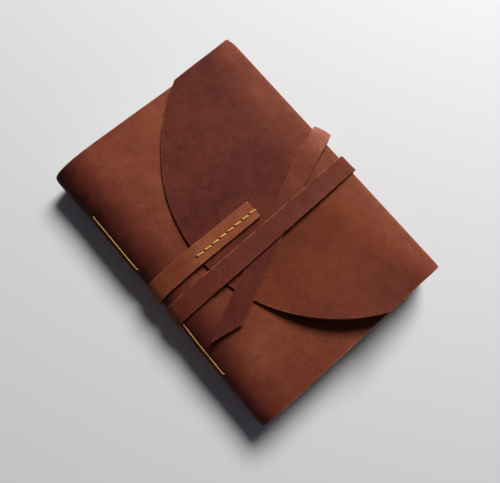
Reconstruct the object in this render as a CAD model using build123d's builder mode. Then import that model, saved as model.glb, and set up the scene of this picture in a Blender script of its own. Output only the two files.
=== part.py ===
from build123d import *
import os
from math import acos, atan2, cos, degrees, hypot, radians, sin, sqrt, tan

# Leather wrap notebook, closed and tied with its own strap, lying on its back cover.
# Millimetres. X runs from the spine to the fore-edge, Y from the tail to the head, Z is up.

# Page block
page_width = 148.0  # fold to fore-edge
page_height = 210.0
page_thickness = 23.0
signature_count = 4
fold_pitch = 4.8  # folds of the signatures, one above the other at the spine
fold_shift = -1.6  # middle of these folds from mid height of the block, as its top slopes to the spine
signature_valley = 2.4  # depth of the valley between two folded signatures
valley_mouth = 1.6  # height of that valley where it opens towards the spine
fore_edge_hollow = 3.0  # the rounded spine leaves the fore-edge hollow by this much
spine_clearance = 0.2  # pages to the inside of the spine leather

# Cover, one folded hide
leather = 2.0
shoulder_run = 30.0  # the front cover comes down to the spine over this length
shoulder_round = 9.0  # outer radius where it turns down into the spine
head_square = 3.5  # cover beyond the pages at the head
tail_square = 4.5  # cover beyond the pages at the tail
fore_square = 0.5  # front cover beyond the pages at the fore-edge
fold_inner_radius = 4.0
layer_gap = 0.3  # between the flap and the front cover under it
flap_skew = 3.5  # the flap stands this far past the front cover at the head

# Flap
flap_reach = 122.5  # fore-edge to the nose of the flap
flap_head_reach = 53.8  # fore-edge to the flap's corner at the head
flap_head_drop = 1.9  # that corner lies this far short of the flap's head edge at the fore-edge
flap_tail_reach = 51.8  # fore-edge to the flap's corner at the tail
flap_tail_drop = 1.8  # that corner lies this far short of the flap's tail edge at the fore-edge
flap_side_reach = 112.0  # fore-edge to the place where the round edge gets flatter towards the head
flap_side_y = 47.0  # the same place, from mid height
flap_nose_radius = 126.0  # round edge from the nose to that place
flap_head_radius = 155.0  # round edge from there to the head
flap_tail_radius = 121.0  # round edge from the nose to the tail
nose_shift = -3.0  # the nose lies this far from mid height, towards the tail
lift_start = -46.0  # from here to the tail the flap curls up
lift_slope = 0.24  # rise of the flap per mm at the tail edge
lift_power = 1.6  # how gently the curl begins
lift_sections = 5

# Strap
strap_width = 13.6
strap_thickness = 2.0
seat = 0.1  # strap to what it lies on
fore_slack = 0.5  # strap to the fore-edge fold
strap_lap = 49.3  # length of strap sewn on the flap, from the nose to its end
first_turn_y = 1.7  # the sewn end and the first turn, from mid height
second_turn_fore_y = -15.0  # where the second turn comes over the fore-edge
second_turn_y = -18.3  # where the second turn passes the spine
second_turn_knee = 95.0  # the second turn slants over this run from the fore-edge
last_turn_angle = 19.0  # slant of the last turn where it comes over the fore-edge
last_turn_y = 5.2  # tail-side edge of that turn where its loop begins, from mid height
last_turn_knee = 22.9  # fore-edge to the place where that edge slants more
last_turn_bend = 270.0  # radius of its bend in plan on the front
swing_run = 9.0  # straight strap under the back before it swings towards that loop
loop_run = 1.0  # straight strap beyond the bend of that last loop
tip_back = 146.3  # fore-edge to the tail-side end of the strap before it is cut
tip_drop = -60.2  # the same point, from mid height
tip_bevel = 18.9  # the end is cut on the slant over this length
crossing_margin = 6.0  # clear run before and after the place where the turns cross
crossing_bend = 60.0  # radius of the strap's bends there
crossing_drop = 14.0  # after it the strap comes down to the flap again over this run, or a longer one
nose_bend = 12.0  # radius of the strap's bend past the nose of the flap

# Strap stitching
stitch_count = 8
stitch_thread = 0.9
stitch_overhang = 1.3  # the first and last stitch go over the edges by this much
stitch_offset = -1.05  # stitch line from the strap's middle
stitch_slant = 6.0  # degrees, each stitch runs towards the tail as it goes to the fore-edge
stitch_clearance = 0.1

# Binding threads
thread = 1.0
thread_clearance = 0.1
thread_bend = 0.7
hole_clearance = 0.2
fold_depth = 4.0  # fold of a signature to the thread inside it
thread_tail = 8.0
first_hole = 69.0  # sewing holes along the spine, from mid height
second_hole = 21.2
third_hole = -26.3
fourth_hole = -68.4

# Levels, from the surface that the notebook lies on
back_z = 2 * (strap_thickness + seat)
page_z = back_z + leather
front_z = page_z + page_thickness
front_top = front_z + leather
flap_z = front_top + layer_gap
flap_top = flap_z + leather
strap_z = flap_top + seat

# Spine and fold radii
spine_inner = page_thickness / 2
spine_radius = spine_inner + leather
spine_z = back_z + spine_radius
page_round = spine_inner - spine_clearance
fold_radius = fold_inner_radius + leather

# Shoulder from the front cover to the spine: a wide arc that runs into the tight one
wide_run = shoulder_run - shoulder_round
wide_radius = (wide_run**2 + spine_radius**2 - shoulder_round**2) / (spine_radius - shoulder_round) / 2
wide_z = front_top - wide_radius
wide_turn = degrees(atan2(wide_run, spine_z - wide_z))

# Strap round the lower spine: the first turn lies tight, the second goes outside it at the back
first_loop = spine_radius + seat
second_loop = spine_z - strap_thickness

# Places along X, with the whole notebook centred on X = 0
fore_span = page_width + fore_edge_hollow - page_round + fore_square + fold_radius
turn_sine = sin(radians(last_turn_angle))
turn_cosine = cos(radians(last_turn_angle))
loop_stand = fore_slack + strap_width * turn_sine + strap_thickness * turn_cosine
spine_x = (first_loop + strap_thickness - fore_span - loop_stand) / 2
tight_x = spine_x - spine_radius + shoulder_round
shoulder_x = spine_x - spine_radius + shoulder_run
fore_x = spine_x + fore_span
bend_x = fore_x - fold_radius
page_fore_x = spine_x - page_round + page_width + fore_edge_hollow
nose_x = fore_x - flap_reach
strap_end_x = nose_x + strap_lap

# Places along Y, with the whole notebook centred on Y = 0
cover_height = page_height + head_square + tail_square
tail_y = -(cover_height + flap_skew) / 2
head_y = tail_y + cover_height
flap_head_y = head_y + flap_skew
mid_y = tail_y + tail_square + page_height / 2
nose_y = mid_y + nose_shift
lift_y = mid_y + lift_start

rows = [(i - (signature_count - 1) / 2) * fold_pitch + fold_shift for i in range(signature_count)]
sewn_y = [mid_y + hole for hole in (first_hole, second_hole, third_hole, fourth_hole)]


def spine_face(out, rise):
    """X of a layer at the spine: its distance outside the hide, and its height above the spine's axis."""
    if rise > 0:
        return tight_x - sqrt((shoulder_round + out) ** 2 - rise**2)
    return spine_x - sqrt((spine_radius + out) ** 2 - rise**2)


def round_spine(out):
    """Line of a layer from the top of the shoulder round the spine to the back cover."""
    wide = JernArc((shoulder_x, front_top + out), (-1, 0), wide_radius + out, wide_turn)
    tight = JernArc(wide @ 1, wide % 1, shoulder_round + out, 90 - wide_turn)
    JernArc(tight @ 1, tight % 1, spine_radius + out, 90)


def pulled_round_shoulder(leave_x):
    """Line of a strap that leaves the flap straight, touches the shoulder and follows it down."""
    leave = Vector(leave_x, strap_z)
    wide_arc = (shoulder_x, wide_z, wide_radius + seat, wide_turn)
    tight_arc = (tight_x, spine_z, shoulder_round + seat, 90)
    for centre_x, centre_z, radius, last_turn in (wide_arc, tight_arc):
        reach = hypot(leave.X - centre_x, leave.Y - centre_z)
        turn = degrees(atan2(leave.Y - centre_z, leave.X - centre_x) + acos(radius / reach)) - 90
        if turn < last_turn:
            break
    touch = Vector(centre_x - radius * sin(radians(turn)), centre_z + radius * cos(radians(turn)))
    bend = JernArc(touch, touch - leave, radius, last_turn - turn)
    if last_turn == wide_turn:
        JernArc(bend @ 1, bend % 1, shoulder_round + seat, 90 - wide_turn)
    return leave, touch


# Page block: a rounded back with a valley between each two signatures, and a hollow fore-edge
with BuildPart() as page_block:
    with BuildSketch(Plane.XZ.offset(-(head_y - head_square))):
        with BuildLine():
            round_spine(page_round - spine_radius)
            Polyline((spine_x, page_z + spine_clearance), (spine_x, page_z), (page_fore_x, page_z))
            ThreePointArc(
                (page_fore_x, page_z),
                (page_fore_x - fore_edge_hollow, spine_z),
                (page_fore_x, front_z),
            )
            Polyline(
                (page_fore_x, front_z),
                (shoulder_x, front_z),
                (shoulder_x, front_z - spine_clearance),
            )
        make_face()
        for lower, upper in zip(rows, rows[1:]):
            rise = (lower + upper) / 2
            valley_x = spine_face(page_round - spine_radius, rise)
            with BuildLine():
                Polyline(
                    (valley_x + signature_valley, spine_z + rise),
                    (valley_x - signature_valley, spine_z + rise + valley_mouth),
                    (valley_x - signature_valley, spine_z + rise - valley_mouth),
                    close=True,
                )
            make_face(mode=Mode.SUBTRACT)
    extrude(amount=page_height)


def sewing_route(rise):
    """Plan route of one binding thread: in the fold, out through the spine, along it and back in."""
    outside = spine_face(thread_clearance + thread / 2, rise)
    inside = spine_face(page_round - spine_radius, rise) + fold_depth
    first, second, third, fourth = sewn_y
    return [
        (inside, first - thread_tail),
        (inside, first),
        (outside, first),
        (outside, second),
        (inside, second),
        (inside, third),
        (outside, third),
        (outside, fourth),
        (inside, fourth),
        (inside, fourth + thread_tail),
    ]


def sewn_tube(rise, radius):
    """Round tube of the given radius along the route of one binding thread."""
    with BuildPart() as tube:
        with BuildLine(Plane.XY.offset(spine_z + rise)) as route:
            FilletPolyline(*sewing_route(rise), radius=thread_bend)
        with BuildSketch(Plane(origin=route.line @ 0, z_dir=route.line % 0)):
            Circle(radius)
        sweep(path=route.line)
    return tube.part


signature_threads = [sewn_tube(rise, thread / 2) for rise in rows]
thread_seats = [sewn_tube(rise, thread / 2 + thread_clearance) for rise in rows]

with page_block:
    for thread_seat in thread_seats:
        add(thread_seat, mode=Mode.SUBTRACT)

# Flap: flat from the head to the strap, curling up towards the tail, cut to its round nose
with BuildPart() as flap:
    with BuildSketch(Plane.XY.offset(flap_z)):
        with Locations(((nose_x + bend_x) / 2, (lift_y + flap_head_y) / 2)):
            Rectangle(bend_x - nose_x, flap_head_y - lift_y)
    extrude(amount=leather)
    for i in range(lift_sections):
        share = i / (lift_sections - 1)
        rise = lift_slope * share**lift_power * (bend_x - nose_x)
        with BuildSketch(Plane.XZ.offset(-(lift_y + share * (tail_y - lift_y)))):
            with BuildLine():
                Polyline(
                    (bend_x, flap_z),
                    (bend_x, flap_top),
                    (nose_x, flap_top + rise),
                    (nose_x, flap_z + rise),
                    close=True,
                )
            make_face()
    loft()
    with BuildSketch(Plane.XY.offset(front_z)):
        with BuildLine():
            flap_side = (fore_x - flap_side_reach, mid_y + flap_side_y)
            head_corner = (fore_x - flap_head_reach, flap_head_y - flap_head_drop)
            tail_corner = (fore_x - flap_tail_reach, tail_y + flap_tail_drop)
            RadiusArc((nose_x, nose_y), flap_side, flap_nose_radius)
            RadiusArc(flap_side, head_corner, flap_head_radius)
            Polyline(head_corner, (bend_x, flap_head_y), (bend_x, tail_y), tail_corner)
            RadiusArc(tail_corner, (nose_x, nose_y), flap_tail_radius)
        make_face()
    extrude(amount=flap_top + lift_slope * flap_reach, mode=Mode.INTERSECT)

# Strap stitching: stations along the sewn end, the first off the flap's nose, the last off the strap
stitch_pitch = (strap_lap + 2 * stitch_overhang) / stitch_count
stitch_y = mid_y + first_turn_y + stitch_offset
stitch_x = [nose_x - stitch_overhang + i * stitch_pitch for i in range(stitch_count + 1)]
stitch_sway = stitch_pitch / 2 * tan(radians(stitch_slant))
slit_length = 2 * stitch_sway + stitch_thread + 2 * stitch_clearance
slit_width = stitch_thread + 2 * stitch_clearance
stitch_top = strap_z + strap_thickness + stitch_clearance + stitch_thread / 2
stitch_low = flap_z + stitch_thread / 2

with BuildPart() as strap_stitching:
    for x0, x1 in zip(stitch_x, stitch_x[1:]):
        start = Vector(x0, stitch_y + stitch_sway)
        finish = Vector(x1, stitch_y - stitch_sway)
        run = (finish - start).length
        side = Plane(origin=start, x_dir=finish - start, z_dir=(finish - start).cross(Vector(0, 0, 1)))
        with BuildLine(side) as loop:
            FilletPolyline(
                (0, stitch_low),
                (0, stitch_top),
                (run, stitch_top),
                (run, stitch_low),
                radius=thread_bend,
                close=True,
            )
        with BuildSketch(Plane(origin=loop.line @ 0, z_dir=loop.line % 0)):
            Circle(stitch_thread / 2)
        sweep(path=loop.line)

# Leather cover: front and spine, back, fore-edge fold and flap, as one hide
with BuildPart() as leather_cover:
    front_edge_x = page_fore_x + fore_square
    with BuildSketch(Plane.XZ.offset(-head_y)):
        with BuildLine():
            Line((front_edge_x, front_z), (shoulder_x, front_z))
            round_spine(-leather)
            offset(amount=leather, side=Side.RIGHT)
        make_face()
    extrude(amount=cover_height)
    with BuildSketch(Plane.XY.offset(back_z)):
        with BuildLine():
            Polyline(
                (spine_x, tail_y),
                (bend_x, tail_y),
                (bend_x, flap_head_y),
                (spine_x, head_y),
                close=True,
            )
        make_face()
    extrude(amount=leather)
    with BuildSketch(Plane.XZ.offset(-flap_head_y)):
        with BuildLine():
            low_bend = JernArc((bend_x, page_z), (1, 0), fold_inner_radius, 90)
            upright = Line(low_bend @ 1, (fore_x - leather, flap_z - fold_inner_radius))
            JernArc(upright @ 1, (0, 1), fold_inner_radius, 90)
            offset(amount=leather, side=Side.RIGHT)
        make_face()
    extrude(amount=flap_head_y - tail_y)
    add(flap.part)
    for rise in rows:
        with BuildSketch(Plane.YZ.offset(spine_x)):
            with Locations(*[(y, spine_z + rise) for y in sewn_y]):
                Circle(thread / 2 + hole_clearance)
        extrude(amount=-(spine_radius + thread), mode=Mode.SUBTRACT)
    with BuildSketch(Plane.XY.offset(flap_z)):
        for x in stitch_x[1:]:
            with Locations((x, stitch_y)):
                SlotOverall(slit_length, slit_width, rotation=90)
    extrude(amount=leather, mode=Mode.SUBTRACT)
    groove_end = stitch_x[-1]
    with BuildSketch(Plane.XY.offset(flap_z)):
        with Locations(((nose_x - stitch_overhang + groove_end) / 2, stitch_y)):
            Rectangle(groove_end - nose_x + stitch_overhang, slit_length)
    extrude(amount=stitch_thread + stitch_clearance, mode=Mode.SUBTRACT)


# Strap: the runs over the front, round the spine, under the back and over the fore-edge
half_width = strap_width / 2
first_y = mid_y + first_turn_y
second_y = mid_y + second_turn_y
second_fore_y = mid_y + second_turn_fore_y
fore_face = fore_x + fore_slack
fore_mid_z = (back_z + flap_top) / 2
past_nose_x = nose_x - 2 * stitch_overhang

# The last loop stands square to the slant of the strap, so it starts at a tail-side corner
loop_reach = fold_radius + loop_run
loop_x = fore_face + strap_width * turn_sine - loop_reach * turn_cosine
loop_y = mid_y + last_turn_y
last_x = spine_x - first_loop + second_loop
last_y = second_y - half_width
swing_x = loop_x - (loop_y - last_y) * turn_cosine / turn_sine
swing_bend = (swing_x - last_x - swing_run) / tan(radians(last_turn_angle / 2))
knee_x = fore_x - last_turn_knee
knee_y = loop_y - (loop_x - knee_x) * turn_sine / turn_cosine
tip_x = fore_x - tip_back
tip_y = mid_y + tip_drop

# The second turn rises over the last one where they cross
last_slope = (knee_y - tip_y) / (knee_x - tip_x)
last_breadth = strap_width * hypot(1, last_slope) / last_slope
cross_to_x = knee_x - (knee_y - second_fore_y - half_width) / last_slope + crossing_margin
cross_from_x = knee_x - (knee_y - last_y) / last_slope - last_breadth - crossing_margin
cross_z = strap_z + strap_thickness + seat


def strip(draw, y_spine, y_fore, straight_x=spine_x):
    """One run of strap: its inner line, thickened, across the book and cut to the strap's width."""
    with BuildPart() as run:
        with BuildSketch(Plane.XZ.offset(-flap_head_y)):
            with BuildLine():
                draw()
                offset(amount=strap_thickness, side=Side.RIGHT)
            make_face()
        extrude(amount=flap_head_y - tail_y)
        with BuildSketch():
            with BuildLine():
                left_x = spine_x - first_loop - strap_thickness
                right_x = fore_x + loop_stand
                Polyline(
                    (left_x, y_spine - half_width),
                    (straight_x, y_spine - half_width),
                    (bend_x, y_fore - half_width),
                    (right_x, y_fore - half_width),
                    (right_x, y_fore + half_width),
                    (bend_x, y_fore + half_width),
                    (straight_x, y_spine + half_width),
                    (left_x, y_spine + half_width),
                    close=True,
                )
            make_face()
        extrude(amount=cross_z + strap_thickness, mode=Mode.INTERSECT)
    return run.part


def first_front():
    leave, touch = pulled_round_shoulder(past_nose_x)
    Polyline((strap_end_x, strap_z), leave, touch)


def first_back():
    JernArc((spine_x - first_loop, spine_z), (0, -1), first_loop, 90)
    FilletPolyline(
        (spine_x, spine_z - first_loop),
        (fore_face, spine_z - first_loop),
        (fore_face, fore_mid_z),
        radius=fold_radius,
    )


def second_front():
    leave, touch = pulled_round_shoulder(min(past_nose_x, cross_from_x - crossing_drop))
    FilletPolyline(
        (fore_face, fore_mid_z),
        (fore_face, strap_z),
        (cross_to_x, cross_z),
        (cross_from_x, cross_z),
        leave,
        touch,
        radius=[fold_radius, crossing_bend, crossing_bend, nose_bend],
    )


def second_back():
    JernArc((spine_x - first_loop, spine_z), (0, -1), second_loop, 90)


strap_runs = [
    strip(first_front, first_y, first_y),
    strip(first_back, first_y, second_fore_y),
    strip(second_front, second_y, second_fore_y, fore_x - second_turn_knee),
    strip(second_back, second_y, second_y),
]

# The last run curves under the back, loops over the fore-edge and ends in a slanted cut
with BuildPart() as last_back:
    with BuildSketch():
        with BuildLine():
            FilletPolyline((last_x, last_y), (swing_x, last_y), (loop_x, loop_y), radius=swing_bend)
            offset(amount=strap_width, side=Side.LEFT)
        make_face()
    extrude(amount=strap_thickness)

slant = Vector(turn_cosine, turn_sine)
with BuildPart() as last_loop:
    with BuildSketch(Plane((loop_x, loop_y), x_dir=slant, z_dir=slant.cross(Vector(0, 0, 1)))):
        with BuildLine():
            FilletPolyline(
                (0, strap_thickness),
                (loop_reach, strap_thickness),
                (loop_reach, strap_z),
                (0, strap_z),
                radius=fold_radius,
            )
            offset(amount=strap_thickness, side=Side.RIGHT)
        make_face()
    extrude(amount=-strap_width)

with BuildPart() as last_front:
    with BuildSketch(Plane.XY.offset(strap_z)):
        with BuildLine():
            edge = FilletPolyline(
                (loop_x, loop_y),
                (knee_x, knee_y),
                (tip_x, tip_y),
                radius=last_turn_bend,
            )
            offset(amount=strap_width, side=Side.RIGHT)
        make_face()
    extrude(amount=strap_thickness)
    heading = edge % 1
    tip = edge @ 1 + Vector(heading.Y, -heading.X) * strap_width
    cut = tip - edge @ (1 - tip_bevel / edge.length)
    split(bisect_by=Plane(tip, x_dir=cut, z_dir=cut.cross(Vector(0, 0, 1))), keep=Keep.TOP)

with BuildPart() as strap:
    for run in (*strap_runs, last_back.part, last_loop.part, last_front.part):
        add(run)
    with BuildSketch(Plane.XY.offset(strap_z)):
        for x in stitch_x[:-1]:
            with Locations((x, stitch_y)):
                SlotOverall(slit_length, slit_width, rotation=90)
    extrude(amount=strap_thickness, mode=Mode.SUBTRACT)

pieces = {
    "leather_cover": leather_cover.part,
    "page_block": page_block.part,
    "strap": strap.part,
    "strap_stitching": strap_stitching.part,
}
for number, signature_thread in enumerate(signature_threads, 1):
    pieces[f"signature_thread_{number}"] = signature_thread

os.makedirs("parts", exist_ok=True)
for name, piece in pieces.items():
    piece.label = name
    export_step(piece, f"parts/{name}.step")
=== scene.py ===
import bpy
import bmesh
from bisect import bisect_right
from math import acos, asin, atan2, ceil, cos, hypot, pi, radians, sin, sqrt, tan
from mathutils import Matrix, Vector, noise


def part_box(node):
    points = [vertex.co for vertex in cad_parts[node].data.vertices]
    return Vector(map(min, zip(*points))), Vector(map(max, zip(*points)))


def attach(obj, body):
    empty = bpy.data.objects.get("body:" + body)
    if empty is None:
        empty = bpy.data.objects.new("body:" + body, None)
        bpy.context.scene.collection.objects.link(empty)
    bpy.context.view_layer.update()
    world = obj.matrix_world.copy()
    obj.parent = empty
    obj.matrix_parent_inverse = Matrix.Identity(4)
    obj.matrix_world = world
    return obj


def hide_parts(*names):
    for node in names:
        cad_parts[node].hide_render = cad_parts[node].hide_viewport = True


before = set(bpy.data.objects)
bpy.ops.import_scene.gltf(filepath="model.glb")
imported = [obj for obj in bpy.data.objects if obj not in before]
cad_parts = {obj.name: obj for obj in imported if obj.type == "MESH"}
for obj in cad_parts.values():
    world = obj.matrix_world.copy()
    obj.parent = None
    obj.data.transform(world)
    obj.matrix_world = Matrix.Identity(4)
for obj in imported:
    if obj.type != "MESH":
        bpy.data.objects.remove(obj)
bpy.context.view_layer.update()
mm = 0.001

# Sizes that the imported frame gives, in metres. X runs from spine to fore-edge, Y from tail to head.
coverLow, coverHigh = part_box("leather_cover")
pageLow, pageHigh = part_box("page_block")
leather = pageLow.z - coverLow.z
spineRadius = (pageHigh.z - pageLow.z) / 2 + leather
spineX = coverLow.x + spineRadius
spineZ = coverLow.z + spineRadius
foreX = coverHigh.x
midY = (pageLow.y + pageHigh.y) / 2
backZ = coverLow.z
frontTop = pageHigh.z + leather
print("frame read: cover", [round(v / mm, 1) for v in coverHigh - coverLow], "mm")


def hexColor(code):
    channels = [int(code[i:i + 2], 16) / 255 for i in (1, 3, 5)]
    linear = [c / 12.92 if c <= 0.04045 else ((c + 0.055) / 1.055) ** 2.4 for c in channels]
    return (*linear, 1)


def addNode(tree, kind, settings=None, links=None):
    node = tree.nodes.new(kind)
    for key, value in (settings or {}).items():
        if key == "stops":
            elements = node.color_ramp.elements
            while len(elements) < len(value):
                elements.new(0.5)
            for element, (share, code) in zip(elements, value):
                element.position = share
                element.color = hexColor(code)
        elif isinstance(key, int) or key in node.inputs:
            node.inputs[key].default_value = value
        else:
            setattr(node, key, value)
    for key, source in (links or {}).items():
        tree.links.new(source, node.inputs[key])
    return node


def newMaterial(name):
    material = bpy.data.materials.new(name)
    material.use_nodes = True
    tree = material.node_tree
    return material, tree, tree.nodes["Principled BSDF"]


def ease(low, high, value):
    share = min(1, max(0, (value - low) / (high - low)))
    return share * share * (3 - 2 * share)


def sway(x, y, span, amount):
    return amount * noise.noise(Vector((x, y, 0)) / span)


def spread(start, end, cell, marks=(), halo=1.5 * mm, fine=0.5 * mm):
    # even steps from start to end, with finer ones around each mark
    count = max(1, ceil((end - start) / cell))
    coarse = [start + (end - start) * i / count for i in range(count + 1)]
    reach = round(halo / fine)
    close = [mark + fine * i for mark in marks for i in range(-reach, reach + 1)]
    close = [c for c in close if start + fine < c < end - fine]
    kept = [c for c in coarse[1:-1] if all(abs(c - other) > fine for other in close)]
    return sorted([start, *kept, *close, end])


def rounded(corners, step=0.6 * mm):
    # a route of straight runs, with each inner corner turned on its own radius
    points = [corners[0][0]]
    for (before, _), (corner, radius), (after, _) in zip(corners, corners[1:], corners[2:]):
        arrive = (corner - before).normalized()
        leave = (after - corner).normalized()
        turn = arrive.angle(leave)
        if turn < radians(0.01):
            points.append(corner)
            continue
        axis = arrive.cross(leave).normalized()
        start = corner - arrive * radius * tan(turn / 2)
        centre = start + axis.cross(arrive) * radius
        steps = max(3, ceil(turn * radius / step))
        for i in range(steps + 1):
            points.append(centre + Matrix.Rotation(turn * i / steps, 3, axis) @ (start - centre))
    points.append(corners[-1][0])
    return points


def runningLength(points):
    lengths = [0]
    for a, b in zip(points, points[1:]):
        lengths.append(lengths[-1] + (b - a).length)
    return lengths


def along(values, lengths, place):
    i = min(len(lengths) - 2, max(0, bisect_right(lengths, place) - 1))
    gap = lengths[i + 1] - lengths[i]
    return values[i].lerp(values[i + 1], (place - lengths[i]) / gap if gap else 0)


def makePiece(bm, name, materials, node=None):
    mesh = bpy.data.meshes.new(name)
    bm.to_mesh(mesh)
    bm.free()
    piece = bpy.data.objects.new(name, mesh)
    bpy.context.scene.collection.objects.link(piece)
    for material in materials:
        mesh.materials.append(material)
    mesh.shade_smooth()
    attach(piece, "root")
    if node:
        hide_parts(node)
    return piece


# Vegetable-tanned hide with an oil finish: matte, cloudy red-brown; lighter at the bends and along the
# cut edges, partly worn there and partly a painted highlight where the lamp catches them
oiledHide = {
    "stops": [
        (0.0, "#2e100b"),
        (0.25, "#55241b"),
        (0.5, "#6e3424"),
        (0.75, "#874a33"),
        (1.0, "#a86b58"),
    ],
    "clouds": 60 * mm,
    "mottle": 7 * mm,
    "grain": 1.7 * mm,  # real pores are finer, drawn this coarse so that they show
    "cloudAmount": 0.46,
    "mottleAmount": 0.28,
    "grainAmount": 0.32,
    "poreDepth": 0.14 * mm,
    "rubAndHighlightReach": 0.9 * mm,  # the cut edges are pale over this width, more in some places: partly worn, partly a painted highlight
    "rubAndHighlightAmount": 0.5,
    "rubAndHighlightSpan": 3.5 * mm,
    "warmTint": "#fff6d6",  # multiplies the colour where the oil has left it more orange
    "dull": 0.7,  # roughness, from dull patches to glossy ones
    "glossy": 0.56,
}


def oiledLeather(name, look):
    material, tree, skin = newMaterial(name)
    place = addNode(tree, "ShaderNodeTexCoord").outputs["Object"]
    clouds = addNode(
        tree,
        "ShaderNodeTexNoise",
        {"Scale": 1 / look["clouds"], "Detail": 4, "Roughness": 0.55, "Distortion": 0.6},
        {"Vector": place},
    )
    mottle = addNode(
        tree,
        "ShaderNodeTexNoise",
        {"Scale": 1 / look["mottle"], "Detail": 5, "Roughness": 0.6},
        {"Vector": place},
    )
    grain = addNode(
        tree,
        "ShaderNodeTexNoise",
        {"Scale": 1 / look["grain"], "Detail": 3, "Roughness": 0.7},
        {"Vector": place},
    )
    pores = addNode(tree, "ShaderNodeTexVoronoi", {"Scale": 1 / look["grain"]}, {"Vector": place})
    tone = addNode(tree, "ShaderNodeAttribute", {"attribute_name": "tone"})
    middle = (look["cloudAmount"] + look["mottleAmount"] + look["grainAmount"]) / 2
    shade = addNode(
        tree,
        "ShaderNodeMath",
        {"operation": "SUBTRACT", 1: middle},
        {0: tone.outputs["Fac"]},
    )
    for pattern, amount in ((clouds, "cloudAmount"), (mottle, "mottleAmount"), (grain, "grainAmount")):
        shade = addNode(
            tree,
            "ShaderNodeMath",
            {"operation": "MULTIPLY_ADD", 1: look[amount]},
            {0: pattern.outputs["Fac"], 2: shade.outputs[0]},
        )
    # Pale line along the cut edges, partly worn and partly a painted highlight where they catch the
    # lamp; patches vary its width
    patches = addNode(
        tree,
        "ShaderNodeTexNoise",
        {"Scale": 1 / look["rubAndHighlightSpan"], "Detail": 3},
        {"Vector": place},
    )
    leastRubAndHighlight, mostRubAndHighlight = (share * look["rubAndHighlightReach"] for share in (0.2, 1.4))
    reach = addNode(
        tree,
        "ShaderNodeMapRange",
        {"From Min": 0.35, "From Max": 0.7, "To Min": leastRubAndHighlight, "To Max": mostRubAndHighlight},
        {"Value": patches.outputs["Fac"]},
    )
    fromEdge = addNode(tree, "ShaderNodeAttribute", {"attribute_name": "fromEdge"})
    rubAndHighlight = addNode(
        tree,
        "ShaderNodeMapRange",
        {"interpolation_type": "SMOOTHSTEP", "To Min": look["rubAndHighlightAmount"], "To Max": 0.0},
        {"Value": fromEdge.outputs["Fac"], "From Max": reach.outputs[0]},
    )
    shade = addNode(
        tree,
        "ShaderNodeMath",
        {"operation": "ADD"},
        {0: shade.outputs[0], 1: rubAndHighlight.outputs[0]},
    )
    ramp = addNode(tree, "ShaderNodeValToRGB", {"stops": look["stops"]}, {"Fac": shade.outputs[0]})
    warmth = addNode(tree, "ShaderNodeAttribute", {"attribute_name": "warmth"})
    tint = addNode(
        tree,
        "ShaderNodeMix",
        {"data_type": "RGBA", "blend_type": "MULTIPLY", 7: hexColor(look["warmTint"])},
        {0: warmth.outputs["Fac"], 6: ramp.outputs["Color"]},
    )
    gloss = addNode(
        tree,
        "ShaderNodeMapRange",
        {"To Min": look["dull"], "To Max": look["glossy"]},
        {"Value": mottle.outputs["Fac"]},
    )
    relief = addNode(
        tree,
        "ShaderNodeMath",
        {"operation": "MULTIPLY_ADD", 1: 0.6},
        {0: pores.outputs["Distance"], 2: grain.outputs["Fac"]},
    )
    bump = addNode(
        tree,
        "ShaderNodeBump",
        {"Strength": 0.35, "Distance": look["poreDepth"]},
        {"Height": relief.outputs[0]},
    )
    tree.links.new(tint.outputs[2], skin.inputs["Base Color"])
    tree.links.new(gloss.outputs[0], skin.inputs["Roughness"])
    tree.links.new(bump.outputs["Normal"], skin.inputs["Normal"])
    skin.inputs["IOR"].default_value = 1.48
    skin.inputs["Specular IOR Level"].default_value = 0.07
    return material


# Cut edge and flesh side of the same hide: undyed fibre, dull and fuzzy
cutFibre = {"dark": "#6b3620", "light": "#b06c40", "fibre": 0.9 * mm, "roughness": 0.85, "sheen": 0.0}
fleshFibre = {"dark": "#5b3524", "light": "#8a5a3e", "fibre": 2.6 * mm, "roughness": 0.92, "sheen": 0.2}


def rawFibre(name, look):
    material, tree, skin = newMaterial(name)
    place = addNode(tree, "ShaderNodeTexCoord").outputs["Object"]
    fibre = addNode(
        tree,
        "ShaderNodeTexNoise",
        {"Scale": 1 / look["fibre"], "Detail": 5, "Roughness": 0.65},
        {"Vector": place},
    )
    stops = [(0.3, look["dark"]), (0.7, look["light"])]
    ramp = addNode(tree, "ShaderNodeValToRGB", {"stops": stops}, {"Fac": fibre.outputs["Fac"]})
    bump = addNode(
        tree,
        "ShaderNodeBump",
        {"Strength": 0.5, "Distance": 0.2 * mm},
        {"Height": fibre.outputs["Fac"]},
    )
    tree.links.new(ramp.outputs["Color"], skin.inputs["Base Color"])
    tree.links.new(bump.outputs["Normal"], skin.inputs["Normal"])
    skin.inputs["Roughness"].default_value = look["roughness"]
    skin.inputs["Sheen Weight"].default_value = look["sheen"]
    skin.inputs["Specular IOR Level"].default_value = 0.1
    return material


# Waxed linen thread: golden, the wax gives it a low gloss; on the spine it is darker and duller, the
# darker colour being painted shade of the spine
waxedLinen = {"dark": "#b07a2c", "light": "#fbd272", "fleck": 1.4 * mm, "roughness": 0.42}
# darker copy for the spine threads: painted shade, as the spine faces away from the lamp
shadedLinen = {"dark": "#975e1d", "light": "#d0963a", "fleck": 1.4 * mm, "roughness": 0.5}


def waxedThread(name, look):
    material, tree, skin = newMaterial(name)
    place = addNode(tree, "ShaderNodeTexCoord").outputs["Object"]
    fleck = addNode(
        tree,
        "ShaderNodeTexNoise",
        {"Scale": 1 / look["fleck"], "Detail": 3},
        {"Vector": place},
    )
    stops = [(0.25, look["dark"]), (0.65, look["light"])]
    ramp = addNode(tree, "ShaderNodeValToRGB", {"stops": stops}, {"Fac": fleck.outputs["Fac"]})
    tree.links.new(ramp.outputs["Color"], skin.inputs["Base Color"])
    skin.inputs["Roughness"].default_value = look["roughness"]
    skin.inputs["Sheen Weight"].default_value = 0.05
    return material


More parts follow.
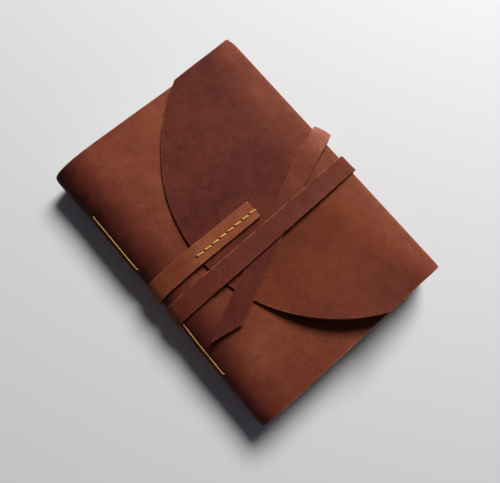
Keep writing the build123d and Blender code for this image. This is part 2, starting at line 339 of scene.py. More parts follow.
# Uncoated book paper, edges cut by knife: cream, with the lines of the leaves
bookPaper = {
    "dark": "#b9a983",
    "light": "#efe6cf",
    "leaf": 0.45 * mm,  # a few leaves, drawn this coarse so that they show
    "run": 30 * mm,
    "roughness": 0.88,
}


def creamPaper(name, look):
    material, tree, skin = newMaterial(name)
    place = addNode(tree, "ShaderNodeTexCoord").outputs["Object"]
    lines = (1 / look["run"], 1 / look["run"], 1 / look["leaf"])
    squeeze = addNode(tree, "ShaderNodeMapping", {"Scale": lines}, {"Vector": place})
    leaves = addNode(
        tree,
        "ShaderNodeTexNoise",
        {"Scale": 1.0, "Detail": 4, "Roughness": 0.7},
        {"Vector": squeeze.outputs[0]},
    )
    stops = [(0.32, look["dark"]), (0.6, look["light"])]
    ramp = addNode(tree, "ShaderNodeValToRGB", {"stops": stops}, {"Fac": leaves.outputs["Fac"]})
    bump = addNode(
        tree,
        "ShaderNodeBump",
        {"Strength": 0.3, "Distance": 0.1 * mm},
        {"Height": leaves.outputs["Fac"]},
    )
    tree.links.new(ramp.outputs["Color"], skin.inputs["Base Color"])
    tree.links.new(bump.outputs["Normal"], skin.inputs["Normal"])
    skin.inputs["Roughness"].default_value = look["roughness"]
    return material


grainSide = oiledLeather("oiledLeatherGrain", oiledHide)
cutEdge = rawFibre("leatherCutEdge", cutFibre)
fleshSide = rawFibre("leatherFleshSide", fleshFibre)
goldThread = waxedThread("waxedGoldThread", waxedLinen)
shadedSpineThread = waxedThread("shadedGoldThread", shadedLinen)
paper = creamPaper("creamPaper", bookPaper)
print("materials ready")

# Camera: fitted to the corners of the cover in the photograph
camera = {
    "spineReach": 78.9 * mm,  # a start this far from the outer edge of the spine
    "place": (-78.589 * mm, -57.428 * mm, 376.559 * mm),  # from that start
    "right": (0.75567, -0.6512, 0.06998),
    "up": (0.62496, 0.7489, 0.22038),
    "back": (-0.19592, -0.1228, 0.9729),
    "focal": 533.734,  # in pixels of a picture 500 wide
    "pictureWidth": 500,
    "sensor": 36,
}


def makeCamera(look):
    data = bpy.data.cameras.new("camera")
    data.sensor_width = look["sensor"]
    data.lens = look["focal"] / look["pictureWidth"] * look["sensor"]
    data.clip_start = 10 * mm
    eye = bpy.data.objects.new("camera", data)
    bpy.context.scene.collection.objects.link(eye)
    turn = Matrix((look["right"], look["up"], look["back"])).transposed().to_4x4()
    start = Vector((coverLow.x + look["spineReach"], midY, backZ))
    eye.matrix_world = Matrix.Translation(start + Vector(look["place"])) @ turn
    bpy.context.scene.camera = eye


makeCamera(camera)

# Hide: front cover, spine, back, fore-edge fold and flap in one sheet
hide = {
    "shoulderRun": 30 * mm,  # the front cover comes down to the spine over this length
    "shoulderRound": 9 * mm,
    "headSquare": 3.5 * mm,  # cover beyond the pages at the head
    "foreSquare": 0.5 * mm,
    "foldRadius": 6 * mm,
    "layerGap": 0.3 * mm,  # flap above the front cover
    "flapReach": 122.5 * mm,
    "headReach": 53.8 * mm,
    "headDrop": 1.9 * mm,  # the flap's head and tail edges come in by this much towards their corners
    "tailDrop": 1.8 * mm,
    "tailReach": 51.8 * mm,
    "sideReach": 112 * mm,  # from here to the head the round edge is flatter
    "sideY": 47 * mm,
    "noseRadius": 126 * mm,
    "headRadius": 155 * mm,
    "tailRadius": 121 * mm,
    "noseShift": -3 * mm,
    "liftStart": -46 * mm,
    "liftSlope": 0.24,
    "liftPower": 1.6,
    "cell": 2.2 * mm,
    "bendCell": 0.7 * mm,
    "swaySpan": 55 * mm,
    "swayAmount": 0.22 * mm,
    "edgeRound": 0.6 * mm,
    "dimple": 1.1 * mm,
    "dimpleDepth": 1.2 * mm,
    "swell": 1.0 * mm,  # the spine stands out this far where the strap doesn't draw it in
    "flare": 1.2 * mm,  # and this much more at the head
    "endRound": 1.3 * mm,  # fold and spine come in at the very head
    "tailRound": 0.26 * mm,  # and less at the tail
    "turns": [midY + 1.7 * mm, midY - 18.3 * mm],  # where the strap passes the spine
    "cutWander": 0.3 * mm,  # cut by hand
    "cutSpan": 24 * mm,
    "highlightNarrowing": 2.0,  # the painted edge highlight on its tail and round edges is half as wide as on its head edge, which faces the lamp
    "cutLength": 474 * mm,  # from the front edge round the book to the nose of the flap
}
sewing = {
    "stations": [midY + hole * mm for hole in (69, 21.2, -26.3, -68.4)],
    "rises": [-8.8 * mm, -4 * mm, 0.8 * mm, 5.6 * mm],  # one row for each signature
    "thread": 0.85 * mm,
    "sunk": 0.2 * mm,  # middle of the thread above the hide, which it dents
    "groove": 1.3 * mm,
    "grooveDepth": 0.45 * mm,
    "bend": 0.7 * mm,
    "foldDepth": 4 * mm,
    "tail": 8 * mm,
    "pageGap": 0.2 * mm,
    "twist": 2.4 * mm,
    "steps": 8,
}

# Shoulder from the front cover to the spine: a wide arc that runs into a tight one
tight = hide["shoulderRound"]
wideRun = hide["shoulderRun"] - tight
wide = (wideRun**2 + spineRadius**2 - tight**2) / (spineRadius - tight) / 2
wideZ = frontTop - wide
wideTurn = atan2(wideRun, spineZ - wideZ)
tightX = coverLow.x + tight
shoulderX = coverLow.x + hide["shoulderRun"]

flapTop = frontTop + hide["layerGap"] + leather
bendX = foreX - hide["foldRadius"]
frontEdgeX = pageHigh.x + hide["foreSquare"]
noseX = foreX - hide["flapReach"]
tailY = coverLow.y
headY = pageHigh.y + hide["headSquare"]
flapHeadY = coverHigh.y
liftY = midY + hide["liftStart"]
nose = Vector((noseX, midY + hide["noseShift"]))
flapSide = Vector((foreX - hide["sideReach"], midY + hide["sideY"]))


def roundEdge(start, end, radius):
    # centre of the arc between two places on the round edge of the flap
    half = (end - start) / 2
    inward = Vector((abs(half.y), half.x * (-1 if half.y > 0 else 1))).normalized()
    return start + half + inward * sqrt(radius**2 - half.length_squared)


tailCorner = Vector((foreX - hide["tailReach"], tailY + hide["tailDrop"]))
headCorner = Vector((foreX - hide["headReach"], flapHeadY - hide["headDrop"]))
flapEdges = [
    (roundEdge(nose, tailCorner, hide["tailRadius"]), hide["tailRadius"]),
    (roundEdge(nose, flapSide, hide["noseRadius"]), hide["noseRadius"]),
    (roundEdge(flapSide, headCorner, hide["headRadius"]), hide["headRadius"]),
]


def flapArc(y):
    return flapEdges[(y > nose.y) + (y > flapSide.y)]


def flapEdgeX(y):
    centre, radius = flapArc(y)
    return centre.x - sqrt(radius**2 - (y - centre.y) ** 2)


def flapLift(x, y):
    share = max(0, (liftY - y) / (liftY - tailY))
    return hide["liftSlope"] * share ** hide["liftPower"] * max(0, bendX - x)


def leatherSway(x, y):
    return sway(x, y, hide["swaySpan"], hide["swayAmount"])


def spineFace(out, rise):
    # X of a layer at the spine, by its distance outside the hide and its height above the spine's axis
    centre, radius = (tightX, tight) if rise > 0 else (spineX, spineRadius)
    return centre - sqrt((radius + out) ** 2 - rise**2)


def onArc(centreX, centreZ, radius, turn, y):
    # place on an arc that starts level at its top and turns down towards the spine
    return Vector((centreX - radius * sin(turn), y, centreZ + radius * cos(turn)))


def endDraw(y):
    atHead = hide["endRound"] * ease(flapHeadY - 6 * mm, flapHeadY, y)
    atTail = hide["tailRound"] * ease(tailY + 3 * mm, tailY, y)
    return atHead + atTail


def spineSwell(y):
    drawn = max(1 - ease(7 * mm, 28 * mm, abs(y - turn)) for turn in hide["turns"])
    return hide["swell"] * (1 - drawn) + hide["flare"] * ease(headY - 50 * mm, headY, y) - endDraw(y)


def spineSpot(rise, out, y):
    # place outside the swollen spine, by its height above the spine's axis
    if rise > 0:
        turn = acos(rise / tight)
        weight = 0.5 + 0.5 * ease(wideTurn, pi / 2, turn)
        return onArc(tightX, spineZ, tight + out + weight * spineSwell(y), turn, y)
    turn = pi / 2 + asin(-rise / spineRadius)
    weight = 1 - ease(pi / 2, pi, turn)
    return onArc(spineX, spineZ, spineRadius + out + weight * spineSwell(y), turn, y)


def sewnDepth(spot):
    # how far the binding threads and their holes draw the leather in
    first, second, third, fourth = sewing["stations"]
    underThread = second < spot.y < first or fourth < spot.y < third
    groove, dimple = sewing["groove"], hide["dimple"]
    depth = 0
    for rise in sewing["rises"]:
        if underThread:
            gap = (spot - spineSpot(rise, 0, spot.y)).length
            depth = max(depth, sewing["grooveDepth"] * ease(groove, 0.2 * groove, gap))
        for station in sewing["stations"]:
            gap = (spot - spineSpot(rise, 0, station)).length
            depth = max(depth, hide["dimpleDepth"] * ease(dimple, 0.25 * dimple, gap))
    return depth


def hidePoint(stretch, share, rowShare):
    skew = {"front": 0, "wide": 0, "tight": 0, "low": 0, "back": share}.get(stretch, 1)
    top = headY + skew * (flapHeadY - headY)
    low = tailY
    if stretch == "flap":
        top -= hide["headDrop"] * share
        low += hide["tailDrop"] * share
    y = low + rowShare * (top - low)
    fold = hide["foldRadius"]
    if stretch == "front":
        x = frontEdgeX + share * (shoulderX - frontEdgeX)
        return Vector((x, y, frontTop + leatherSway(x, y) * ease(0, 0.1, share)))
    if stretch == "wide":
        sag = leatherSway(shoulderX, y) * (1 - share) + 0.5 * spineSwell(y) * ease(0, 1, share)
        return onArc(shoulderX, wideZ, wide + sag, wideTurn * share, y)
    if stretch in ("tight", "low"):
        start = wideTurn if stretch == "tight" else pi / 2
        turn = start + share * (pi / 2 if stretch == "low" else pi / 2 - wideTurn)
        rise = (tight if stretch == "tight" else spineRadius) * cos(turn)
        swollen = spineSpot(rise, 0, y)
        return swollen + Vector((sin(turn), 0, -cos(turn))) * sewnDepth(swollen)
    if stretch == "back":
        return Vector((spineX + share * (bendX - spineX), y, backZ))
    if stretch == "lowBend":
        angle = pi / 2 * (share - 1)
        reach = fold - endDraw(y)
        return Vector((bendX + reach * cos(angle), y, backZ + fold + fold * sin(angle)))
    if stretch == "upright":
        return Vector((foreX - endDraw(y), y, backZ + fold + share * (flapTop - backZ - 2 * fold)))
    if stretch == "topBend":
        angle = pi / 2 * share
        reach = fold - endDraw(y)
        return Vector((bendX + reach * cos(angle), y, flapTop - fold + fold * sin(angle)))
    x = bendX + share * (flapEdgeX(y) - bendX)
    return Vector((x, y, flapTop + flapLift(x, y) + leatherSway(x, y) * ease(0, 0.1, share)))


def hideMargin(stretch, spot, rowShare):
    # distance from the nearest cut edge of the hide, stretched on the tail and round edges so that the
    # painted edge highlight stays narrow where they face away from the lamp
    height = headY - tailY
    margin = min((1 - rowShare) * height, hide["highlightNarrowing"] * rowShare * height)
    if stretch == "front":
        margin = min(margin, hide["highlightNarrowing"] * (frontEdgeX - spot.x))
    if stretch == "flap":
        centre, radius = flapArc(spot.y)
        margin = min(margin, hide["highlightNarrowing"] * abs(radius - (spot.to_2d() - centre).length))
    return margin


# Places on the leather's ramp: painted shade darkens the shoulder and spine; the flap is darker than the
# fold, partly its own colour and partly a painted highlight along the fold
hideTones = {
    "front": 0.6,
    "frontShade": 0.04,  # each fade or shade makes its part this much darker; the shades are painted shade where the cover turns from the lamp
    "shoulder": 0.58,
    # painted shade: the shoulder and spine darken as they turn from the lamp, more at the head
    "spineShade": 0.36,
    "spineHeadShade": 0.16,
    "back": 0.46,
    "fold": 0.6,
    # flap darker than the fold: partly its own colour, partly a painted highlight along the fold
    "flapFade": 0.33,
    "flapTailGain": 0.17,
    # painted shade on the flap, deepening towards its lifted tail lip
    "flapLipShade": 0.17,
    "frontWarmth": 0.3,
}


def flapTailSide(y):
    return ease(nose.y + 30 * mm, nose.y - 40 * mm, y)


def hideTone(stretch, share, y):
    headSide = ease(midY - 60 * mm, midY + 60 * mm, y)
    # painted shade down the shoulder and spine
    spineShade = hideTones["spineShade"] + hideTones["spineHeadShade"] * headSide
    if stretch == "front":
        return hideTones["front"] - hideTones["frontShade"] * ease(0.7, 1, share)
    if stretch == "wide":
        power = 1.5 + 2.5 * ease(midY - 60 * mm, midY - 90 * mm, y)  # the painted shade sets in nearer the spine at the tail
        return hideTones["shoulder"] - spineShade * share**power
    if stretch in ("tight", "low"):
        return hideTones["shoulder"] - spineShade
    if stretch == "back":
        return hideTones["back"]
    if stretch == "flap":
        # painted shade towards the flap's tail
        lipShade = hideTones["flapLipShade"] * ease(midY - 50 * mm, midY - 108 * mm, y)
        fade = hideTones["flapFade"] - hideTones["flapTailGain"] * flapTailSide(y) + lipShade
        return hideTones["fold"] - fade * ease(0, 0.35, share)
    return hideTones["fold"]


def hideWarmth(stretch, share, y):
    if stretch == "flap":
        return flapTailSide(y) * ease(0, 0.2, share)
    return hideTones["frontWarmth"] if stretch == "front" else 0


def sheetGrid(columns, rows):
    # flat grid with a line of vertices for each column and row, and the layers that the leather reads
    bm = bmesh.new()
    bmesh.ops.create_grid(bm, x_segments=len(columns) - 1, y_segments=len(rows) - 1, size=1)
    layers = [bm.verts.layers.float.new(name) for name in ("tone", "warmth", "fromEdge")]
    return bm, layers


def gridEntry(entries, place):
    return entries[round((place + 1) / 2 * (len(entries) - 1))]


def makeHide(look):
    columns = []
    for stretch, shares in (
        ("front", spread(0, 1, look["cell"] / (frontEdgeX - shoulderX))),
        ("wide", spread(0, 1, look["bendCell"] / (wide * wideTurn) * 2)),
        ("tight", spread(0, 1, look["bendCell"] / (tight * (pi / 2 - wideTurn)))),
        ("low", spread(0, 1, look["bendCell"] / (spineRadius * pi / 2))),
        ("back", spread(0, 1, look["cell"] / (bendX - spineX))),
        ("lowBend", spread(0, 1, 1 / 8)),
        ("upright", spread(0, 1, 1 / 8)),
        ("topBend", spread(0, 1, 1 / 8)),
        ("flap", spread(0, 1, look["cell"] / look["flapReach"])),
    ):
        columns += [(stretch, share) for share in shares[1 if columns else 0:]]
    height = headY - tailY
    nearEnd = 1.6 * mm
    marks = [nearEnd, *(station - tailY for station in sewing["stations"]), height - nearEnd]
    rows = [place / height for place in spread(0, height, look["cell"], marks)]
    bm, (toneLayer, warmthLayer, marginLayer) = sheetGrid(columns, rows)
    for vert in bm.verts:
        stretch, share = gridEntry(columns, vert.co.x)
        rowShare = gridEntry(rows, vert.co.y)
        vert.co = hidePoint(stretch, share, rowShare)
        nearCut = (2 * rowShare - 1) ** 8
        vert.co.y += sway(vert.co.x, 9 * rowShare, look["cutSpan"], look["cutWander"]) * nearCut
        vert[toneLayer] = hideTone(stretch, share, vert.co.y)
        vert[warmthLayer] = hideWarmth(stretch, share, vert.co.y)
        vert[marginLayer] = hideMargin(stretch, vert.co, rowShare)
    area = sum(face.calc_area() for face in bm.faces)
    bmesh.ops.reverse_faces(bm, faces=bm.faces)
    sides = [grainSide, cutEdge, fleshSide]
    piece = makePiece(bm, "leatherHide", sides, "leather_cover")
    thickenSheet(piece, leather, look["edgeRound"])
    return piece


def thickenSheet(piece, thickness, edgeRound):
    wall = piece.modifiers.new("thickness", "SOLIDIFY")
    wall.thickness = thickness
    wall.offset = -1
    wall.use_even_offset = True
    wall.material_offset = 2
    wall.material_offset_rim = 1
    edge = piece.modifiers.new("edgeRound", "BEVEL")
    edge.width = edgeRound
    edge.segments = 2
    edge.profile = 0.5
    edge.limit_method = "ANGLE"
    edge.angle_limit = radians(50)
    edge.material = -1
    normals = piece.modifiers.new("evenNormals", "WEIGHTED_NORMAL")
    normals.keep_sharp = True


hidePiece = makeHide(hide)
print("hide folded:", len(hidePiece.data.polygons), "faces before its thickness")

# Strap: sewn to the flap, two turns round the book, its end tucked under the second turn
strap = {
    "width": 13.6 * mm,
    "thickness": 2 * mm,
    "seat": 0.1 * mm,
    "foreSlack": 0.5 * mm,
    "lap": 49.3 * mm,  # sewn length on the flap
    "pastNose": 2.6 * mm,
    "secondForeY": -15 * mm,
    "slantRun": 95 * mm,  # the second turn slants over this run from the fore-edge
    "loopStand": 4.4 * mm,  # last loop beyond the fore-edge, at the strap's middle
    "loopY": 14.5 * mm,
    "loopSlant": 19,
    "kneeBack": 25.5 * mm,
    "kneeY": 4.2 * mm,
    "tipBack": 149.2 * mm,
    "tipY": -54 * mm,
    "tipBevel": 18.9 * mm,
    "tipRun": 60 * mm,  # the slant of the tip comes in over this length
    "tipDroop": 1.0 * mm,
    "foldRadius": 8 * mm,
    "crossMargin": 6 * mm,
    "crossBend": 60 * mm,  # bends where it leaves the flap and where it crosses itself
    "backStart": 12 * mm,  # under the back it slants from this far past the spine's axis
    "backEnd": 15 * mm,  # to this far before the fore-edge bend
    "backBend": 150 * mm,  # slow bends in the plane of the book
    "swingBend": 280 * mm,
    "kneeBend": 270 * mm,
    "tipBend": 150 * mm,
    "cell": 1.2 * mm,
    "edgeRound": 0.4 * mm,
    "edgeWander": 0.14 * mm,
    "wanderSpan": 7 * mm,
    "edgeNick": 0.08 * mm,
    "nickSpan": 2 * mm,
    "headLift": 0.2 * mm,  # the edges curl up from what the strap lies on, the tail side more
    "tailLift": 0.9 * mm,
    "loopLift": 2.4 * mm,  # the last turn stands off the flap beside its loop
    "loopCup": 1.0 * mm,
}
onFlap = flapTop + strap["seat"] + strap["thickness"]
onFront = frontTop + strap["seat"] + strap["thickness"]
onTurn = onFlap + strap["seat"] + strap["thickness"]
underBack = backZ - strap["seat"] - strap["thickness"]
firstY, secondY = hide["turns"]
secondForeY = midY + strap["secondForeY"]
strapEndX = noseX + strap["lap"]


def arcCorner(centreX, centreZ, radius, start, finish, y):
    # corner of the two straight runs that such an arc joins, and its radius
    reach = radius / cos((finish - start) / 2)
    return onArc(centreX, centreZ, reach, (start + finish) / 2, y), radius


def strapRoute(look):
    # middle of the strap's outer face, corner by corner, from the sewn end to the tip
    foreFace = foreX + look["foreSlack"] + look["thickness"]
    out = look["seat"] + look["thickness"]
    leaveX = noseX - look["pastNose"]
    fromShoulder = (leaveX - shoulderX, onFlap - wideZ)
    touch = atan2(fromShoulder[1], fromShoulder[0]) + acos((wide + out) / hypot(*fromShoulder)) - pi / 2
    kneeX = foreX - look["kneeBack"]
    kneeY = midY + look["kneeY"]
    tip = Vector((foreX - look["tipBack"], midY + look["tipY"], onFlap))
    lastSlope = (kneeY - tip.y) / (kneeX - tip.x)
    loopSlope = tan(radians(look["loopSlant"]))
    loopX = foreX + look["loopStand"]
    loopY = midY + look["loopY"]
    crossX = kneeX - (kneeY - secondY) / lastSlope
    crossHalf = look["width"] / 2 * (1 + sqrt(1 + lastSlope**2)) / lastSlope + look["crossMargin"]
    secondSlope = (secondForeY - secondY) / look["slantRun"]
    crossTo = crossX + crossHalf
    crossFrom = crossX - crossHalf
    crossToY = secondY + secondSlope * (crossTo - foreX + look["slantRun"])
    lowLoop = spineZ - underBack
    swingX = loopX - (loopY - secondY) / loopSlope
    overShoulder = (shoulderX, wideZ, wide + out, touch, wideTurn)
    intoSpine = (tightX, spineZ, tight + out, wideTurn, pi / 2)
    return [
        (Vector((strapEndX, firstY, onFlap)), 0),
        (Vector((leaveX, firstY, onFlap)), look["crossBend"]),
        arcCorner(*overShoulder, firstY),
        arcCorner(*intoSpine, firstY),
        (Vector((spineX - lowLoop, firstY, underBack)), lowLoop),
        (Vector((spineX + look["backStart"], firstY, underBack)), look["backBend"]),
        (Vector((bendX - look["backEnd"], secondForeY, underBack)), look["backBend"]),
        (Vector((foreFace, secondForeY, underBack)), look["foldRadius"]),
        (Vector((foreFace, secondForeY, onFlap)), look["foldRadius"]),
        (Vector((crossTo, crossToY, onTurn)), look["crossBend"]),
        (Vector((crossFrom, secondY, onTurn)), look["crossBend"]),
        (Vector((leaveX, secondY, onFlap)), look["crossBend"]),
        arcCorner(*overShoulder, secondY),
        arcCorner(*intoSpine, secondY),
        (Vector((spineX - lowLoop, secondY, 0)), spineZ),
        (Vector((swingX, secondY, 0)), look["swingBend"]),
        (Vector((loopX, loopY, 0)), look["foldRadius"]),
        (Vector((loopX, loopY, onFlap)), look["foldRadius"]),
        (Vector((kneeX, kneeY, onFlap)), look["kneeBend"]),
        (tip.lerp(Vector((kneeX, kneeY, onFlap)), 0.3), look["tipBend"]),
        (tip - Vector((0, 0, look["tipDroop"])), 0),
    ]


def acrossRoute(points, lengths, blur=9 * mm):
    # level direction across the strap at each point, towards the head, eased along the strap
    raw = []
    for before, after in zip([points[0], *points], [*points[1:], points[-1]]):
        plan = (after - before).normalized().to_2d()
        if plan.length > 0.3:
            side = Vector((-plan.y, plan.x, 0)).normalized()
            side *= 1 if side.y > 0 else -1
        else:
            side = raw[-1]
        raw.append(side)
    eased = []
    for place in lengths:
        near = [min(lengths[-1], max(0, place + blur * k / 4)) for k in range(-4, 5)]
        eased.append(sum((along(raw, lengths, spot) for spot in near), Vector()).normalized())
    return eased


# Saddle stitches that hold the strap on the flap
stitches = {
    "count": 8,
    "thread": 1.1 * mm,
    "overhang": 1.3 * mm,
    "offset": -1.05 * mm,
    "slant": 6,
    "bend": 0.7 * mm,
    "inset": 0.8 * mm,  # each stitch keeps this far from the middle of its hole
    "sink": 0.25 * mm,
    "twist": 2.2 * mm,
    "pull": 1.0 * mm,  # each hole draws the strap in over this radius
    "pullDepth": 0.9 * mm,
    "pullShade": 0.9,
}
threadStep = 0.2 * mm
stitchPitch = (strap["lap"] + 2 * stitches["overhang"]) / stitches["count"]
stitchX = [noseX - stitches["overhang"] + i * stitchPitch for i in range(stitches["count"] + 1)]
stitchY = firstY + stitches["offset"]


# Sewn end pale, second turn dark, the last turn pale over its loop, a painted highlight, and dark at its
# tip; painted shade darkens the first turn over the shoulder
strapTones = {
    "firstEnd": 0.3,  # shares of the strap's length where the first turn ends and the last one starts
    "lastStart": 0.7,
    "sewn": 0.75,
    "firstShade": 0.12,  # each fade or shade makes its part this much darker; this one is painted shade over the shoulder
    "second": 0.46,
    "secondFade": 0.08,
    # painted highlight: the last turn is pale where its loop catches the lamp, fading off along it
    "loop": 0.85,
    "loopHighlightFade": 0.33,
    "tipFade": 0.22,
    "sewnWarmth": 0.65,
    "highlightNarrowing": 3,  # the larger, the narrower the pale edge, a painted highlight kept narrow on the shaded side
    "secondHighlightNarrowing": 0.9,  # the second turn's head side faces the lamp and gets the widest painted highlight
}


def strapTone(spot, share):
    if share < strapTones["firstEnd"]:
        # painted shade as the first turn goes over the shoulder to the spine
        return strapTones["sewn"] - strapTones["firstShade"] * ease(noseX, spineX, spot.x)
    if share < strapTones["lastStart"]:
        fade = strapTones["secondFade"] * ease(spineX + 20 * mm, noseX + 40 * mm, spot.x)
        return strapTones["second"] - fade
    fromLoop = foreX - spot.x
    # the painted highlight at the loop fades off within about 24 mm of the fore-edge
    loopHighlightFade = strapTones["loopHighlightFade"] * ease(2 * mm, 24 * mm, fromLoop)
    tipFade = strapTones["tipFade"] * ease(30 * mm, 75 * mm, fromLoop)
    return strapTones["loop"] - loopHighlightFade - tipFade


def strapHighlightNarrowing(offset, share):
    onSecond = strapTones["firstEnd"] < share < strapTones["lastStart"]
    return strapTones["secondHighlightNarrowing"] if onSecond and offset >= 0 else strapTones["highlightNarrowing"]


def makeStrap(look):
    points = rounded(strapRoute(look))
    lengths = runningLength(points)
    sides = acrossRoute(points, lengths)
    total = lengths[-1]
    marks = [strapEndX - x for x in stitchX[:-1]]
    columns = spread(0, total, look["cell"], marks)
    half = look["width"] / 2
    rows = spread(-half, half, look["cell"], [stitches["offset"]])
    bm, (toneLayer, warmthLayer, marginLayer) = sheetGrid(columns, rows)
    for vert in bm.verts:
        columnPlace = gridEntry(columns, vert.co.x)
        offset = gridEntry(rows, vert.co.y)
        tipCut = look["tipBevel"] * (half - offset) / look["width"]
        place = columnPlace - tipCut * ease(total - look["tipRun"], total, columnPlace)
        centre = along(points, lengths, place)
        side = along(sides, lengths, place).normalized()
        edge = abs(offset) / half
        wander = look["edgeWander"] * noise.noise(Vector((place / look["wanderSpan"], offset / half, 0)))
        wander += look["edgeNick"] * noise.noise(Vector((place / look["nickSpan"], offset / half, 5)))
        spot = centre + side * offset * (1 + wander / half)
        if spot.z > spineZ:
            raised = ease(spineZ, onFront, spot.z)
            curl = look["headLift"] if offset > 0 else look["tailLift"]
            spot.z += raised * (leatherSway(spot.x, spot.y) + curl * edge**2)
            if place > strapTones["lastStart"] * total:
                fromLoop = foreX - spot.x
                spot.z += raised * look["loopLift"] * ease(38 * mm, 4 * mm, fromLoop)
                spot.x -= look["loopCup"] * edge**2 * ease(8 * mm, -2 * mm, fromLoop)
        pull = 0
        if place < look["lap"] + look["pastNose"]:
            for x in stitchX[:-1]:
                gap = Vector((spot.x - x, spot.y - stitchY)).length
                pull = max(pull, ease(stitches["pull"], 0.2 * stitches["pull"], gap))
        spot.z -= pull * stitches["pullDepth"]
        vert.co = spot
        vert[toneLayer] = strapTone(spot, place / total) - stitches["pullShade"] * pull
        onFirst = place < strapTones["firstEnd"] * total
        vert[warmthLayer] = strapTones["sewnWarmth"] if onFirst else 0
        # distance from the cut edge, stretched where the painted edge highlight is to stay narrow
        margin = min(half - abs(offset), columnPlace, total - columnPlace)
        vert[marginLayer] = margin * strapHighlightNarrowing(offset, place / total)
    bmesh.ops.reverse_faces(bm, faces=bm.faces)
    piece = makePiece(bm, "leatherStrap", [grainSide, cutEdge, fleshSide], "strap")
    thickenSheet(piece, look["thickness"], look["edgeRound"])
    return piece


strapPiece = makeStrap(strap)
print("strap wound:", len(strapPiece.data.polygons), "faces before its thickness")


def twistedThread(bm, points, thickness, twist, step=0.3 * mm, sides=10):
    # two plies laid together: an eight-shaped section that turns along the route
    lengths = runningLength(points)
    count = max(4, ceil(lengths[-1] / step))
    ring = None
    up = Vector((0.3, 0.2, 1)).normalized()
    for i in range(count + 1):
        place = lengths[-1] * i / count
        spot = along(points, lengths, place)
        ahead = along(points, lengths, min(lengths[-1], place + step))
        behind = along(points, lengths, max(0, place - step))
        direction = (ahead - behind).normalized()
        up = (up - direction * up.dot(direction)).normalized()
        side = direction.cross(up)
        lay = 2 * pi * place / twist
        corners = []
        for k in range(sides):
            angle = 2 * pi * k / sides
            radius = thickness / 2 * (0.72 + 0.28 * abs(cos(angle - lay)))
            corners.append(spot + (up * cos(angle) + side * sin(angle)) * radius)
        if ring is None:
            made = bmesh.ops.create_circle(bm, segments=sides, radius=thickness, cap_ends=True)["verts"]
            ring = list(made)
        else:
            edges = [bm.edges.get((a, b)) for a, b in zip(ring, ring[1:] + ring[:1])]
            made = bmesh.ops.extrude_edge_only(bm, edges=edges)["geom"]
            fresh = {e for e in made if isinstance(e, bmesh.types.BMEdge)}
            nextRing = []
            for vert in ring:
                link = next(e for e in vert.link_edges if e not in fresh and e.other_vert(vert) in made)
                nextRing.append(link.other_vert(vert))
            ring = nextRing
        for vert, corner in zip(ring, corners):
            vert.co = corner
    lastEdges = [bm.edges.get((a, b)) for a, b in zip(ring, ring[1:] + ring[:1])]
    bmesh.ops.contextual_create(bm, geom=lastEdges)


def makeStitching(look):
    bm = bmesh.new()
    halfRun = stitchPitch / 2 - look["inset"]
    slanted = Vector((halfRun, -halfRun * tan(radians(look["slant"])), 0))
    for x0, x1 in zip(stitchX, stitchX[1:]):
        centre = Vector(((x0 + x1) / 2, stitchY, 0))
        start = centre - slanted
        finish = centre + slanted
        top = Vector((0, 0, onFlap + look["thread"] / 2 - look["sink"]))
        low = Vector((0, 0, flapTop - leather + look["thread"] / 2))
        loop = [centre + low, start + low, start + top, finish + top, finish + low, centre + low]
        route = [(spot, look["bend"]) for spot in loop]
        twistedThread(bm, rounded(route, threadStep), look["thread"], look["twist"])
    bmesh.ops.recalc_face_normals(bm, faces=bm.faces)
    return makePiece(bm, "strapStitching", [goldThread], "strap_stitching")


def makeBinding(look):
    first, second, third, fourth = look["stations"]
    for number, rise in enumerate(look["rises"], 1):
        foldX = spineFace(-leather - look["pageGap"], rise) + look["foldDepth"]
        inner = Vector((foldX, 0, spineZ + rise))
        spots = [inner + Vector((0, first - look["tail"], 0)), inner + Vector((0, first, 0))]
        for start, end in ((first, second), (third, fourth)):
            steps = look["steps"]
            for i in range(steps + 1):
                spots.append(spineSpot(rise, look["sunk"], start + (end - start) * i / steps))
            spots.append(inner + Vector((0, end, 0)))
            spots.append(inner + Vector((0, third if end == second else fourth + look["tail"], 0)))
        route = [(spot, look["bend"]) for spot in spots]
        bm = bmesh.new()
        twistedThread(bm, rounded(route, threadStep), look["thread"], look["twist"])
        bmesh.ops.recalc_face_normals(bm, faces=bm.faces)
        makePiece(bm, f"bindingThread{number}", [shadedSpineThread], f"signature_thread_{number}")


makeStitching(stitches)
makeBinding(sewing)
print("threads sewn")

# Pages: thin bundles of leaves in four folded signatures, ends slightly uneven
pages = {
    "signatures": 4,
    "bundles": 18,  # in each signature
    "uneven": 0.22 * mm,
    "unevenSpan": 16 * mm,
    "hollow": 3 * mm,
    "gap": 0.05 * mm,
    "valley": 2.4 * mm,
    "steps": 30,
}


def leafTop(x):
    # top of the pages, which slopes down to the spine with the cover
    if x > shoulderX:
        return pageHigh.z
    return wideZ + sqrt((wide - leather - sewing["pageGap"]) ** 2 - (x - shoulderX) ** 2)


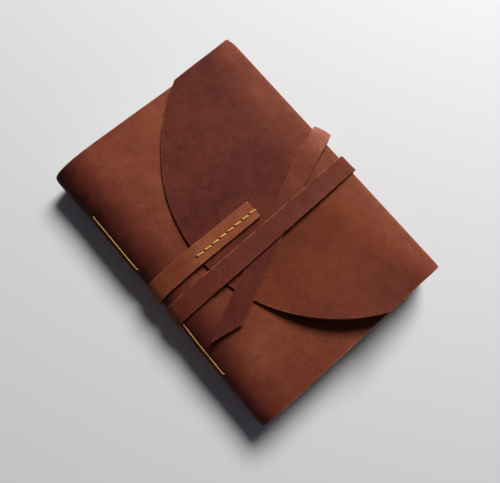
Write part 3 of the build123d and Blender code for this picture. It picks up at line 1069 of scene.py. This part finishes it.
def makePages(look):
    bm = bmesh.new()
    count = look["bundles"] * look["signatures"]
    height = pageHigh.z - pageLow.z
    thick = height / count
    slopeEnd = shoulderX - (wide - leather) * sin(wideTurn)
    backShare = (leafTop(slopeEnd) - pageLow.z) / height
    inner = spineRadius - leather - sewing["pageGap"]
    for i in range(count):
        z = pageLow.z + (i + 0.5) * thick
        rise = max(-0.99 * inner, pageLow.z + (i + 0.5) * thick * backShare - spineZ)
        fromFold = abs((i % look["bundles"] + 0.5) / look["bundles"] * 2 - 1)
        backX = spineFace(-leather - sewing["pageGap"], rise) + look["valley"] * max(0, fromFold - 0.4)
        foreEnd = pageHigh.x - look["hollow"] * (1 - (2 * (z - spineZ) / height) ** 2)
        made = bmesh.ops.create_grid(bm, x_segments=look["steps"], y_segments=2, size=1)["verts"]
        for vert in made:
            x = backX + ((vert.co.x + 1) / 2) ** 1.6 * (foreEnd - backX)
            spot = Vector((x / look["unevenSpan"], i * 3.7, vert.co.y * 5))
            ragged = look["uneven"] * noise.noise(spot)
            end = pageHigh.y - midY - look["uneven"] + ragged
            vert.co = Vector((x, midY + vert.co.y * end, z + thick / 2))
        faces = list({face for vert in made for face in vert.link_faces})
        bmesh.ops.solidify(bm, geom=faces, thickness=thick - look["gap"])
    bmesh.ops.recalc_face_normals(bm, faces=bm.faces)
    for vert in bm.verts:
        squeeze = (leafTop(vert.co.x) - pageLow.z) / height
        vert.co.z = pageLow.z + (vert.co.z - pageLow.z) * squeeze
    piece = makePiece(bm, "pageBlock", [paper], "page_block")
    piece.data.shade_flat()
    return piece


makePages(pages)
print("pages laid")

# Floor, light and backdrop
studio = {
    "floor": "#d9dad9",
    "world": "#d8d2e6",
    "worldStrength": 0.085,
    "backdrop": "#e4e6e6",  # only the camera sees it, it lights nothing
    "windowPlace": (0.97, 0.45, 1.2),
    "windowSize": 0.76,
    "windowPower": 34.0,
    "windowColor": "#fefeff",
}


def makeStudio(look):
    bm = bmesh.new()
    bmesh.ops.create_grid(bm, x_segments=2, y_segments=2, size=3)
    mesh = bpy.data.meshes.new("floor")
    bm.to_mesh(mesh)
    bm.free()
    floor = bpy.data.objects.new("floor", mesh)
    bpy.context.scene.collection.objects.link(floor)
    material, _, skin = newMaterial("paleFloor")
    skin.inputs["Base Color"].default_value = hexColor(look["floor"])
    skin.inputs["Roughness"].default_value = 0.85
    skin.inputs["Specular IOR Level"].default_value = 0.2
    mesh.materials.append(material)
    world = bpy.data.worlds.new("studioWorld")
    world.use_nodes = True
    tree = world.node_tree
    room = tree.nodes["Background"]
    room.inputs["Color"].default_value = hexColor(look["world"])
    room.inputs["Strength"].default_value = look["worldStrength"]
    backdrop = addNode(tree, "ShaderNodeBackground", {"Color": hexColor(look["backdrop"])})
    seen = addNode(tree, "ShaderNodeLightPath").outputs["Is Camera Ray"]
    links = {0: seen, 1: room.outputs[0], 2: backdrop.outputs[0]}
    mix = addNode(tree, "ShaderNodeMixShader", {}, links)
    tree.links.new(mix.outputs[0], tree.nodes["World Output"].inputs["Surface"])
    bpy.context.scene.world = world
    data = bpy.data.lights.new("window", "AREA")
    data.shape = "DISK"
    data.size = look["windowSize"]
    data.energy = look["windowPower"]
    data.color = hexColor(look["windowColor"])[:3]
    lamp = bpy.data.objects.new("window", data)
    bpy.context.scene.collection.objects.link(lamp)
    lamp.location = look["windowPlace"]
    lamp.rotation_mode = "QUATERNION"
    lamp.rotation_quaternion = (-Vector(look["windowPlace"])).to_track_quat("-Z", "Y")


makeStudio(studio)
bpy.context.scene.view_settings.view_transform = "Standard"
print("studio lit")
